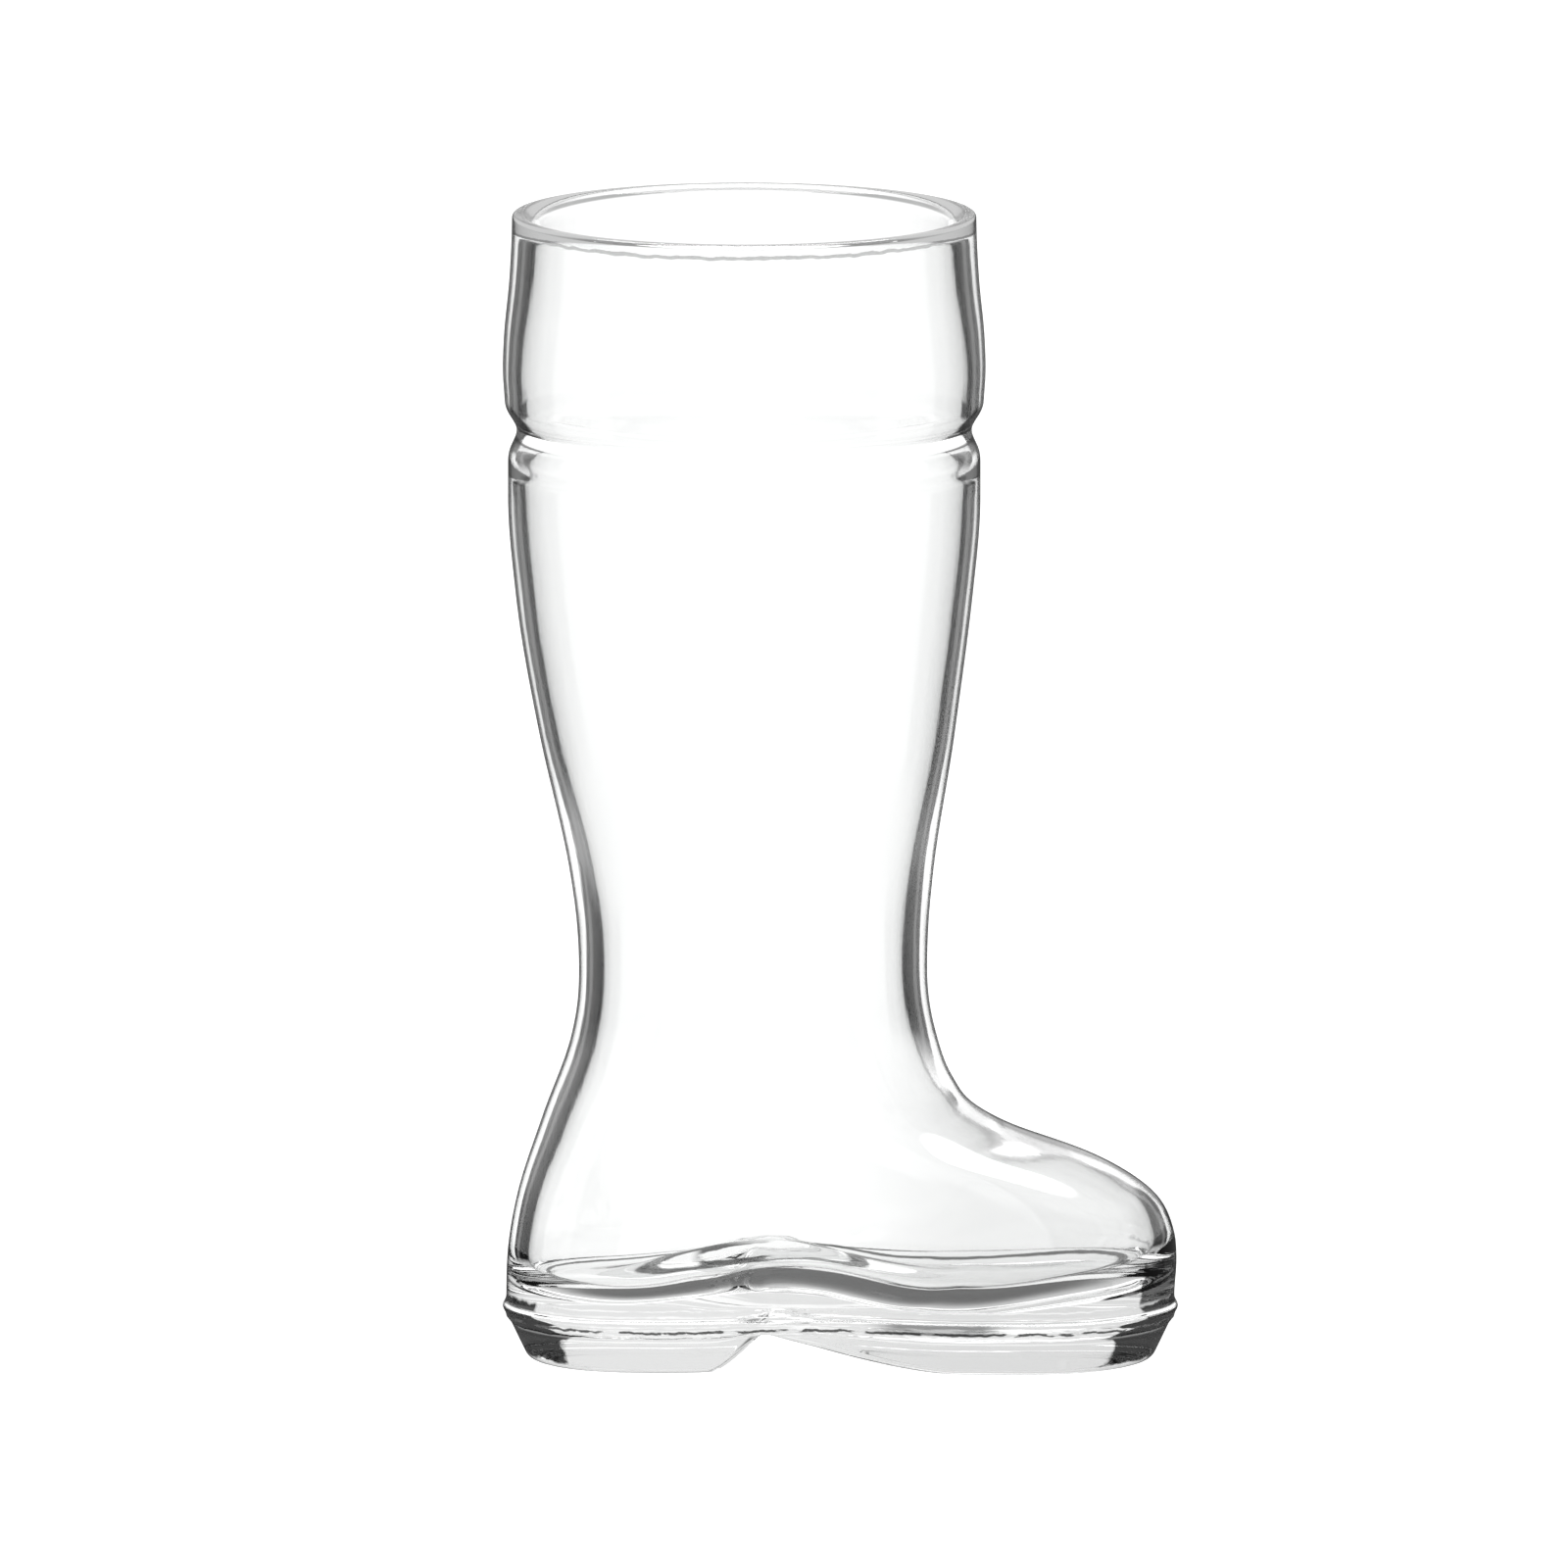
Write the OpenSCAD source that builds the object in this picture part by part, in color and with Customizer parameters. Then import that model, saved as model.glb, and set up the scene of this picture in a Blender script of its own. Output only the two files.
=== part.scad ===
// Beer boot glass, one piece of clear pressed and blown glass, drawn as the zones it is formed in.
// The zones meet face to face: lip, cuff, groove and shaft are turned about the leg's axis, and calf,
// ankle, vamp and footbed are lofted rings that drift forward and open from a circle into a foot.
// The toe points along +X, the foot is even on both sides of Y, and Z is up from the resting plane.
// The X of the leg's axis puts the origin in the middle of the boot's length.

/* [Leg] */
// Height of the whole boot, from the table to the lip
boot_h = 250; // [240:1:270]
// Diameter outside at the widest place of the shaft
calf_d = 102.2; // [96:0.2:108]
// Height of the shaft's widest place under the lip
calf_drop = 62; // [58:1:66]
// Diameter outside at the narrowest place of the ankle
ankle_d = 75.4; // [68:0.2:84]
// Height of the ankle's narrowest place over the table
ankle_h = 85; // [80:1:88]
// How far the ankle stands forward of the leg's axis
ankle_shift = 1.9; // [0:0.1:5]
// Glass thickness in the shaft
leg_wall = 3.3; // [2.6:0.1:4.4]
// Glass thickness in the ankle
ankle_wall = 4.9; // [3.6:0.1:6]

/* [Cuff] */
// How far the cuff's widest place stands out over the shaft's widest place
cuff_out = 1.1; // [0.2:0.1:4]
// How far the lip lies in from the cuff's widest place
lip_in = 2; // [0:0.1:3]
// Height of the cuff, from the groove's upper edge to the lip
cuff_h = 41; // [36:1:46]
// Glass thickness in the cuff
cuff_wall = 4.8; // [4:0.1:6]
// Height of the lip zone
lip_h = 6; // [5:0.5:8]
// Radius that rounds the lip's outer edge
lip_outer_r = 0.8; // [0.4:0.1:1.2]
// Radius that rounds the lip's inner edge
lip_inner_r = 2.8; // [1:0.1:3.4]

/* [Groove] */
// Depth of the groove, from the cuff's widest place
groove_depth = 3.1; // [1.8:0.1:4]
// Height of the groove outside
groove_h = 12; // [10:0.5:14]
// How far the bead that the groove raises inside stands into the bore
bead_out = 2.8; // [1.4:0.1:4]
// How far the bead inside lies below the middle of the groove
bead_drop = 2.5; // [0:0.1:4]
// Height of the bead inside, on each side of its top
bead_reach = 8.5; // [7:0.5:9]

/* [Foot] */
// Reach of the heel behind the leg's axis
heel_reach = 52.4; // [48:0.2:56]
// Reach of the toe in front of the leg's axis
toe_reach = 94; // [86:0.2:102]
// Width of the heel
heel_w = 58; // [50:1:64]
// Width of the waist between heel and ball
waist_w = 50; // [44:1:56]
// Width of the ball of the foot
ball_w = 63; // [58:1:70]
// Radius of the heel's end, seen from above
heel_end_r = 28; // [20:1:30]
// Radius of the toe's end, seen from above
toe_end_r = 30; // [20:1:32]
// Glass thickness in the heel counter and the toe
foot_wall = 4.2; // [3:0.1:5.4]
// Glass thickness on top of the vamp, where the glass was blown out most
vamp_wall = 2.3; // [1.8:0.1:4]
// Height of the footbed's upper edge over the table
footbed_h = 30; // [28:1:33]
// Height of the floor inside, at the heel
heel_floor_h = 14.6; // [14:0.2:17]
// Height of the floor's hump inside, over the arch
arch_floor_h = 22.2; // [18:0.2:24]
// Height of the floor inside, at the ball
ball_floor_h = 13.2; // [12:0.2:15]
// Height of the floor inside, at the toe
toe_floor_h = 17.6; // [13:0.2:20]

/* [Sole] */
// Height of the sole under the welt
sole_h = 9.2; // [8.4:0.2:10]
// Height of the welt, the raised line round the foot
welt_h = 4.2; // [3:0.2:5]
// How far the welt stands out
welt_out = 0.8; // [0.5:0.1:1.6]
// How far the sole lies in from the foot over it
sole_step = 0.4; // [0:0.1:1]
// How far the sole's side leans in, from the welt to the table
sole_taper = 4.4; // [2:0.2:6]
// Radius that rounds the sole's lower edge
sole_edge_r = 1.6; // [1:0.2:3]
// Distance from the leg's axis to the top of the arch
arch_reach = 3.4; // [0:0.2:8]
// Width of the arch's top
arch_top = 1.6; // [1:0.2:4]
// Length of the heel's slanting front face
heel_face = 10.5; // [8:0.5:13]
// Length of the ramp that the tread climbs to the arch
tread_ramp = 40; // [32:1:48]

/* [Hidden] */

glass = [0.86, 0.92, 0.93, 0.55];
$fn = 96;
// Steps round the foot, and the step for slopes
round_steps = 64;
angle_step = 1;
height_step = leg_wall / 20;

// Levels where one zone ends and the next begins
lip_z = boot_h - lip_h;
cuff_z = boot_h - cuff_h;
groove_z = cuff_z - groove_h / 2;
bead_z = groove_z - bead_drop;
shaft_top_z = bead_z - bead_reach;
calf_wide_z = boot_h - calf_drop;
loft_share = 0.8;
loft_z = ankle_h + (calf_wide_z - ankle_h) * loft_share;
calf_share = 0.33;
calf_z = ankle_h + (calf_wide_z - ankle_h) * calf_share;
instep_share = 0.6;
instep_z = footbed_h + (ankle_h - footbed_h) * instep_share;
vamp_share = 0.38;
vamp_z = footbed_h + (ankle_h - footbed_h) * vamp_share;
vamp_reach_share = 0.27;
vamp_reach = (ankle_h - footbed_h) * vamp_reach_share;
vamp_side = 1.3;
welt_z = sole_h + welt_h;

// Widths of the cuff and the groove, from the shaft's
cuff_d = calf_d + cuff_out * 2;
rim_d = cuff_d - lip_in * 2;
groove_d = cuff_d - groove_depth * 2;

// The leg's axis, so that the foot's two ends lie evenly on both sides of X zero
leg_x = (heel_reach - toe_reach) / 2;
heel_body = heel_reach - welt_out;
toe_body = toe_reach - welt_out;
foot_half = (heel_body + toe_body) / 2;

// Outlines, each a table of where along a stretch and how much of its change is done
cuff_shares = [[0, 0], [0.35, 0.3], [0.65, 0.88], [0.85, 1], [1, 0.82]];
leg_shares = [[0, 0], [0.2, 0.12], [0.5, 0.46], [0.8, 0.885], [0.9, 0.97], [1, 1]];
back_shares = [[0, 0], [0.1, 0.02], [0.2, 0.1], [0.45, 0.5], [0.7, 0.86], [0.85, 0.975], [1, 1]];
front_shares = [[0, 0], [0.2, 0.037], [0.34, 0.108], [0.42, 0.188], [0.5, 0.378],
                [0.58, 0.683], [0.67, 0.892], [0.8, 0.998], [0.88, 1.009], [1, 1]];
// Places of heel, waist and ball along the foot, from -1 at the heel's end to 1 at the toe's
heel_share = -0.5;
waist_share = -0.12;
ball_share = 0.4;
// The floor's climb from the heel to the hump, its fall to the ball and its climb to the toe, by place
rise_shares = [[-0.95, 0], [-0.65, 0.1], [-0.47, 0.55], [-0.3, 0.92], [-0.2, 1]];
fall_shares = [[-0.2, 0], [-0.14, 0.1], [-0.08, 0.36], [0.04, 0.7], [0.28, 1]];
toe_shares = [[0.28, 0], [0.48, 0.08], [0.62, 0.55], [0.8, 1]];
// How square the floor's corner with the wall is, beside the foot and at its two ends
side_power = 5;
heel_end_power = 7;
toe_end_power = 5;
// How the heel's front face and the tread's ramp bend
face_power = 1.4;
ramp_power = 1.6;

function mix(a, b, t) = a + (b - a) * t;
function limit(t) = min(max(t, 0), 1);
function smooth(t) = limit(t) * limit(t) * (3 - 2 * limit(t));

// Slope of a table at one of its points: nothing at the two ends, elsewhere weighed from both sides
function table_slope(table, i) =
    i == 0 || i == len(table) - 1 ? 0 :
    let (h0 = table[i][0] - table[i - 1][0], h1 = table[i + 1][0] - table[i][0],
         d0 = (table[i][1] - table[i - 1][1]) / h0, d1 = (table[i + 1][1] - table[i][1]) / h1)
    (d0 * h1 + d1 * h0) / (h0 + h1);

function table_place(table, t, i = 0) =
    i >= len(table) - 2 || t < table[i + 1][0] ? i : table_place(table, t, i + 1);

// A smooth curve through the points of a table
function curve(table, t) =
    let (q = min(max(t, table[0][0]), table[len(table) - 1][0]), i = table_place(table, q),
         h = table[i + 1][0] - table[i][0], s = (q - table[i][0]) / h)
    table[i][1] * (1 + 2 * s) * pow(1 - s, 2) + h * table_slope(table, i) * s * pow(1 - s, 2)
    + table[i + 1][1] * s * s * (3 - 2 * s) + h * table_slope(table, i + 1) * s * s * (s - 1);

// Radius outside, over the ankle
function leg_r(z) =
    mix(calf_d, ankle_d, curve(leg_shares, (calf_wide_z - z) / (calf_wide_z - ankle_h))) / 2;

function cuff_r(z) = mix(rim_d, cuff_d, curve(cuff_shares, (boot_h - z) / cuff_h)) / 2;

function outer_r(z) =
    z >= cuff_z ? cuff_r(z) :
    let (side = z > groove_z ? cuff_r(cuff_z) : leg_r(z))
    mix(groove_d / 2, side, smooth(abs(z - groove_z) / (groove_h / 2)));

function leg_t(z) = mix(ankle_wall, leg_wall, smooth((z - ankle_h) / (calf_wide_z - ankle_h) * 2));

bead_r = cuff_r(cuff_z) - cuff_wall - bead_out;
function inner_r(z) =
    z >= cuff_z ? cuff_r(z) - cuff_wall :
    z >= bead_z ? mix(bead_r, cuff_r(cuff_z) - cuff_wall, smooth((z - bead_z) / (cuff_z - bead_z))) :
    mix(bead_r, leg_r(z) - leg_t(z), smooth((bead_z - z) / bead_reach));

// Back and front of the leg and foot, measured from the leg's axis
function drift(z) = ankle_shift * smooth((loft_z - z) / (loft_z - ankle_h));
function down(z) = (ankle_h - z) / (ankle_h - welt_z);
function back_x(z) =
    z >= ankle_h ? drift(z) - leg_r(z) :
    mix(ankle_shift - ankle_d / 2, -heel_body, curve(back_shares, down(z)));
function front_x(z) =
    z >= ankle_h ? drift(z) + leg_r(z) :
    mix(ankle_shift + ankle_d / 2, toe_body, curve(front_shares, down(z)));

// Half width of the foot before its ends are rounded off, from the heel's end at -1 to the toe's at 1
function full_half(w, share) = w / 2 / sqrt(1 - share * share);
heel_end = [-1, sqrt(heel_end_r * foot_half)];
heel_side = [heel_share, full_half(heel_w, heel_share)];
waist_side = [waist_share, full_half(waist_w, waist_share)];
ball_side = [ball_share, full_half(ball_w, ball_share)];
toe_end = [1, sqrt(toe_end_r * foot_half)];
sole_half = [heel_end, heel_side, waist_side, ball_side, toe_end];
upper_half = [heel_end, heel_side, ball_side, toe_end];
// The waist is pinched at the welt and filled out at the footbed's upper edge
function foot_half_w(share, z) =
    mix(curve(sole_half, share), curve(upper_half, share), smooth((z - welt_z) / (footbed_h - welt_z)));
function half_w(share, z) =
    z >= ankle_h ? leg_r(z) :
    mix(foot_half_w(share, z), ankle_d / 2, smooth((z - welt_z * 2) / (ankle_h - welt_z * 2)));

// A point of the outer skin
function skin(a, z) =
    let (b = back_x(z), f = front_x(z))
    [leg_x + (b + f) / 2 + (f - b) / 2 * cos(a), half_w(cos(a), z) * sin(a), z];

// Direction outward from the skin
function skin_normal(a, z) =
    let (n = cross(skin(a + angle_step, z) - skin(a - angle_step, z),
                   skin(a, z + height_step) - skin(a, z - height_step)))
    n / norm(n);

// Glass thickness at a level, and on the vamp's top less than beside it
function level_t(z) =
    z >= ankle_h ? leg_t(z) : mix(foot_wall, ankle_wall, smooth((z - welt_z) / (ankle_h - welt_z)));
function wall_t(a, z) =
    mix(level_t(z), vamp_wall, smooth(cos(a) * vamp_side) * exp(-pow((z - vamp_z) / vamp_reach, 2)));

// A point of the inner skin: moved in at its own level, as far as the wall's thickness asks on a slope
function lining(a, z) =
    let (n = skin_normal(a, z), flat = [n[0], n[1], 0])
    skin(a, z) - flat * wall_t(a, z) / (flat * flat);

// The sole's outline at the welt, drawn in evenly
function sole_point(a, inset, z) =
    let (p = skin(a, welt_z), t = skin(a + angle_step, welt_z) - skin(a - angle_step, welt_z),
         n = [t[1], -t[0]] / norm([t[0], t[1]]))
    [p[0] - n[0] * inset, p[1] - n[1] * inset, z];
function sole_inset(z) =
    sole_step + sole_taper * (1 - z / sole_h)
    + (z < sole_edge_r ? sole_edge_r - sqrt(sole_edge_r * sole_edge_r - pow(sole_edge_r - z, 2)) : 0);

// The floor's level along the foot
function floor_z(x) =
    let (share = (x - leg_x - (toe_body - heel_body) / 2) / foot_half)
    share < fall_shares[0][0] ? mix(heel_floor_h, arch_floor_h, curve(rise_shares, share)) :
    share < toe_shares[0][0] ? mix(arch_floor_h, ball_floor_h, curve(fall_shares, share)) :
    mix(ball_floor_h, toe_floor_h, curve(toe_shares, share));

// A point of the bowl inside the footbed: tilt 0 is its upper edge, 90 the middle of its floor
function bowl(a, tilt) =
    let (power = mix(side_power, cos(a) < 0 ? heel_end_power : toe_end_power, pow(cos(a), 2)),
         keep = pow(cos(tilt), 2 / power), sunk = pow(sin(tilt), 2 / power),
         middle = leg_x + (back_x(footbed_h) + front_x(footbed_h)) / 2,
         guess = lining(a, footbed_h),
         base = floor_z(mix(middle, guess[0], keep)),
         z = mix(footbed_h, base, sunk),
         p = lining(a, max(z, welt_z)))
    [mix(middle, p[0], keep), p[1] * keep, mix(footbed_h, floor_z(mix(middle, p[0], keep)), sunk)];

function ring(f) = [for (j = [0:round_steps - 1]) f(360 * j / round_steps)];
function skin_ring(z) = ring(function (a) skin(a, z));
function lining_ring(z) = ring(function (a) lining(a, z));
function sole_ring(z) = ring(function (a) sole_point(a, sole_inset(z), z));

function levels(low, high, steps) = [for (i = [0:steps]) mix(low, high, i / steps)];
function reverse(list) = [for (i = [len(list) - 1:-1:0]) list[i]];
function flatten(lists) = [for (l = lists) each l];

// Triangles between ring i and the next, the last ring joined to the first
function band(i, k) = [for (j = [0:round_steps - 1])
    let (n = (j + 1) % round_steps, p = i * round_steps, q = k * round_steps)
    each [[p + j, q + j, q + n], [p + j, q + n, p + n]]];

// A wall, closed on itself: rings up its outside and down its inside
module wall(rings) {
    count = len(rings);
    polyhedron(points = flatten(rings),
               faces = [for (i = [0:count - 1]) each band(i, (i + 1) % count)],
               convexity = 6);
}

// A solid between its first and last ring, each closed to a middle point
module capped(rings, first, last) {
    count = len(rings);
    base = count * round_steps;
    polyhedron(points = concat(flatten(rings), [first, last]),
               faces = concat([for (i = [0:count - 2]) each band(i, i + 1)],
                              [for (j = [0:round_steps - 1]) [j, (j + 1) % round_steps, base]],
                              [for (j = [0:round_steps - 1], top = base - round_steps)
                                  [top + (j + 1) % round_steps, top + j, base + 1]]),
               convexity = 6);
}

// A turned zone between two levels
module turned(low, high, steps) {
    color(glass) translate([leg_x, 0, 0]) rotate_extrude() polygon(concat(
        [for (z = levels(low, high, steps)) [outer_r(z), z]],
        [for (z = levels(high, low, steps)) [inner_r(z), z]]));
}

// A lofted zone between two levels
module lofted(low, high, steps) {
    color(glass) wall(concat(
        [for (z = levels(low, high, steps)) skin_ring(z)],
        [for (z = levels(high, low, steps)) lining_ring(z)]));
}

// The lip is fire polished: a small round outside, a large one inside
module lip() {
    outer = outer_r(boot_h);
    inner = inner_r(boot_h);
    color(glass) translate([leg_x, 0, 0]) rotate_extrude() polygon(concat(
        [[inner_r(lip_z), lip_z], [outer_r(lip_z), lip_z]],
        [for (a = [0:15:90]) [outer - lip_outer_r * (1 - cos(a)), boot_h - lip_outer_r * (1 - sin(a))]],
        [for (a = [90:15:180]) [inner + lip_inner_r * (1 + cos(a)), boot_h - lip_inner_r * (1 - sin(a))]]));
}

module cuff() {
    turned(cuff_z, lip_z, 14);
}

module groove() {
    turned(shaft_top_z, cuff_z, 22);
}

module shaft() {
    turned(loft_z, shaft_top_z, 8);
}

module calf() {
    lofted(calf_z, loft_z, 6);
}

module ankle() {
    lofted(instep_z, calf_z, 12);
}

module vamp() {
    lofted(footbed_h, instep_z, 18);
}

// The thick glass floor with its hump, and the low wall round it
module footbed() {
    middle = leg_x + (back_x(footbed_h) + front_x(footbed_h)) / 2;
    sides = concat([sole_ring(sole_h)], [for (z = levels(welt_z, footbed_h, 4)) skin_ring(z)]);
    inside = [for (tilt = [0:9:81]) ring(function (a) bowl(a, tilt))];
    color(glass) capped(concat(sides, inside), [middle, 0, sole_h], [middle, 0, floor_z(middle)]);
}

// The welt is a rounded ridge round the foot
module welt() {
    color(glass) wall([
        sole_ring(sole_h),
        for (s = [0.2, 0.45, 0.75])
            ring(function (a) sole_point(a, -welt_out * sqrt(sin(180 * s)), mix(sole_h, welt_z, s))),
        skin_ring(welt_z)]);
}

// The whole sole before the arch is taken out
module sole() {
    middle = leg_x + (toe_body - heel_body) / 2;
    capped([for (s = [0, 0.08, 0.3, 0.6, 1]) sole_ring(sole_edge_r * s), sole_ring(sole_h)],
           [middle, 0, 0], [middle, 0, sole_h]);
}

// A block as wide as the foot, with the given outline seen from the side
module side_block(outline) {
    rotate([90, 0, 0]) linear_extrude(height = ball_w * 2, center = true) polygon(outline);
}

// The heel ends in a slanting face, rounded where it meets the table
module heel() {
    top = leg_x + arch_reach;
    color(glass) intersection() {
        sole();
        side_block(concat(
            [[leg_x - heel_reach, sole_h], [leg_x - heel_reach, 0]],
            [for (s = [0, 0.2, 0.4, 0.7, 1]) [top - heel_face * (1 - s), sole_h * pow(s, face_power)]]));
    }
}

// The tread climbs to the arch in a long ramp
module tread() {
    top = leg_x + arch_reach + arch_top;
    color(glass) intersection() {
        sole();
        side_block(concat(
            [for (s = [0:0.125:1]) [top + tread_ramp * s, sole_h * pow(1 - s, ramp_power)]],
            [[leg_x + toe_reach, 0], [leg_x + toe_reach, sole_h]]));
    }
}

lip();
cuff();
groove();
shaft();
calf();
ankle();
vamp();
footbed();
welt();
heel();
tread();
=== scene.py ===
# %% [markdown]
# # A beer boot glass
# The real thing is one piece of clear glass in the shape of a boot. It is pressed and blown in a mould,
# and its lip is melted round with a flame. There is no second piece in it, so this lesson builds one mesh
# and one glass. It spends its effort on the two skins of the wall, because all that the eye sees of clear
# glass is how the outer skin and the inner skin bend the light between them.

import math

import bpy
import numpy as np
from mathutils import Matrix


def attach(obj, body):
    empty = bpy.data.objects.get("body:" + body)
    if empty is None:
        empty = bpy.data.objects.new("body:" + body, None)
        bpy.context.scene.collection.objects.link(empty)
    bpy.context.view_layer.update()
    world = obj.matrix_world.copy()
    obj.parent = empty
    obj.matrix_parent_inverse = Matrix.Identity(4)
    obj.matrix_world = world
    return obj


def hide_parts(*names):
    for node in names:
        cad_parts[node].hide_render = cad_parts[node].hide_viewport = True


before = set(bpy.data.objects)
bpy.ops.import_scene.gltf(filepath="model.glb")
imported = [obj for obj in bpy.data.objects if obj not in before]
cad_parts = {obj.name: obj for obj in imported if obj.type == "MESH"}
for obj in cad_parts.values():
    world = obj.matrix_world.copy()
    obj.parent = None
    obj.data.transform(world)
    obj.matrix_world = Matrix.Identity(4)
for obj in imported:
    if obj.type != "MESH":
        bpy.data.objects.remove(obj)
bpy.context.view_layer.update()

# %% [markdown]
# ## Sizes
# Most lengths below are the ones that the CAD source uses, in millimetres, so the mesh lies on the solids.
# The thinning of the cuff's wall and the deep round inside the lip are this lesson's own, because only the
# look through the glass shows them. All are turned into metres once, when the mesh is made.

# %% Sizes of the leg, the cuff and the groove
MM = 0.001
boot_h, calf_d, calf_drop = 250.0, 102.2, 62.0
ankle_d, ankle_h, ankle_shift = 75.4, 85.0, 1.9
leg_wall, ankle_wall = 3.3, 4.9
cuff_out, rim_in, cuff_h, cuff_wall = 1.1, 2.0, 41.0, 4.8
cuff_thinner, thinner_from, thinner_over = 1.5, 4.0, 40.0
lip_outer_r, lip_inner_r, lip_inner_deep = 0.8, 2.8, 4.4
groove_depth, groove_h = 3.1, 12.0
bead_out, bead_drop, bead_reach = 2.8, 2.5, 8.5
print("leg:", boot_h, "mm tall,", calf_d, "mm at the calf,", ankle_d, "mm at the ankle")

# %% Sizes of the foot and the sole
heel_reach, toe_reach = 52.4, 94.0
heel_w, waist_w, ball_w = 58.0, 50.0, 63.0
heel_end_r, toe_end_r = 28.0, 30.0
foot_wall, footbed_h = 4.2, 30.0
sole_h, welt_h, welt_out = 9.2, 4.2, 0.8
sole_taper, sole_edge_r, sole_step = 4.4, 1.6, 0.4
arch_reach, arch_top, heel_face, tread_ramp = 3.4, 1.6, 10.5, 40.0
print("foot:", heel_reach + toe_reach, "mm from heel to toe, on a sole of", sole_h, "mm")

# %% Levels and places that follow from them
cuff_d = calf_d + cuff_out * 2
rim_d = cuff_d - rim_in * 2
groove_d = cuff_d - groove_depth * 2
cuff_z = boot_h - cuff_h
groove_z = cuff_z - groove_h / 2
bead_z = groove_z - bead_drop
shaft_top_z = bead_z - bead_reach
calf_wide_z = boot_h - calf_drop
loft_share = 0.8
loft_z = ankle_h + (calf_wide_z - ankle_h) * loft_share
welt_z = sole_h + welt_h
leg_x = (heel_reach - toe_reach) / 2
heel_body = heel_reach - welt_out
toe_body = toe_reach - welt_out
foot_half = (heel_body + toe_body) / 2
foot_middle = leg_x + (toe_body - heel_body) / 2
print("leg axis at x =", round(leg_x, 2), "mm; welt at z =", round(welt_z, 2), "mm")

# %% [markdown]
# ## Outlines as smooth curves
# A mould maker draws a glass by a few points on its outline and a smooth line through them. Here each
# table holds how far along a stretch a point is, and how much of the stretch's change is done there. A
# cubic curve joins the points. Glass also never has a sudden change of curvature, because its skin
# pulls tight while it is hot, and the smallest kink would show as a line in the refraction. So each
# outline is then averaged over a millimetre or so.

# %% The curve through a table, and the easing of its kinks
cuff_shares = [(0, 0), (0.35, 0.3), (0.65, 0.88), (0.85, 1), (1, 0.82)]
leg_shares = [(0, 0), (0.2, 0.12), (0.5, 0.46), (0.8, 0.885), (0.9, 0.97), (1, 1)]
back_shares = [(0, 0), (0.1, 0.02), (0.2, 0.1), (0.45, 0.5), (0.7, 0.86), (0.85, 0.975), (1, 1)]
front_shares = [(0, 0), (0.2, 0.037), (0.34, 0.108), (0.42, 0.188), (0.5, 0.378), (0.58, 0.683),
                (0.67, 0.892), (0.8, 0.998), (0.88, 1.009), (1, 1)]
line_step = 0.1


def mix(a, b, t):
    """A value t of the way from a to b: a + (b - a) t."""
    return a + (b - a) * t


def smooth(t):
    """An S from 0 to 1: 3 t^2 - 2 t^3, held at its ends."""
    t = np.clip(t, 0, 1)
    return t * t * (3 - 2 * t)


def hump_of(distance, width):
    """A bell of height 1: e to the power of minus (distance / width)^2."""
    return np.exp(-(distance / width) ** 2)


def curve(table, t):
    """Cubic curve through a table: level at both ends, with the mean slope at the points between."""
    x, y = np.array(table, float).T
    h = np.diff(x)
    d = np.diff(y) / h
    slope = np.zeros(len(x))
    slope[1:-1] = (d[:-1] * h[1:] + d[1:] * h[:-1]) / (h[:-1] + h[1:])
    q = np.clip(t, x[0], x[-1])
    i = np.clip(np.searchsorted(x, q, side="right") - 1, 0, len(h) - 1)
    s = (q - x[i]) / h[i]
    return (y[i] * (1 + 2 * s) * (1 - s) ** 2 + h[i] * slope[i] * s * (1 - s) ** 2
            + y[i + 1] * s * s * (3 - 2 * s) + h[i] * slope[i + 1] * s * s * (s - 1))


def eased(line, spread, low=-30.0, high=300.0, reach=60):
    """The line without kinks: each value is the mean of its neighbours, weighed by a bell of that spread."""
    at = np.arange(low, high, line_step)
    bell = np.exp(-0.5 * (np.arange(-reach, reach + 1) * line_step / spread) ** 2)
    values = np.convolve(line(at), bell / bell.sum(), "same")
    return lambda place: np.interp(place, at, values)


print("an S a quarter of the way:", float(smooth(0.25)))


# %% Radii of the turned part, outside and inside
def leg_line(z):
    """Radius outside from the shaft's widest place down to the ankle."""
    return mix(calf_d, ankle_d, curve(leg_shares, (calf_wide_z - z) / (calf_wide_z - ankle_h))) / 2


def cuff_line(z):
    """Radius outside over the cuff, a band that bellies out a little."""
    return mix(rim_d, cuff_d, curve(cuff_shares, (boot_h - z) / cuff_h)) / 2


def outer_line(z):
    """Radius outside of the whole leg, with the pinched groove as an S on either side of its bottom."""
    side = np.where(z > groove_z, cuff_line(np.float64(cuff_z)), leg_line(z))
    pinched = mix(groove_d / 2, side, smooth(np.abs(z - groove_z) / (groove_h / 2)))
    return np.where(z >= cuff_z, cuff_line(z), pinched)


def leg_thickness(z):
    """Thickness of the leg's wall: thin in the shaft, thicker at the ankle."""
    return mix(ankle_wall, leg_wall, smooth((z - ankle_h) / (calf_wide_z - ankle_h) * 2))


def inner_line(z):
    """Radius inside: the cuff's wall thins downwards by an S, and the groove pushes in a bead under it."""
    cuff_foot = cuff_line(np.float64(cuff_z)) - cuff_wall + cuff_thinner
    bead_r = cuff_foot - bead_out
    over = mix(bead_r, cuff_foot, smooth((z - bead_z) / (cuff_z - bead_z)))
    under = mix(bead_r, leg_line(z) - leg_thickness(z), smooth((bead_z - z) / bead_reach))
    cuff = cuff_line(z) - cuff_wall + cuff_thinner * smooth((boot_h - thinner_from - z) / thinner_over)
    return np.where(z >= cuff_z, cuff, np.where(z >= bead_z, over, under))


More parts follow.
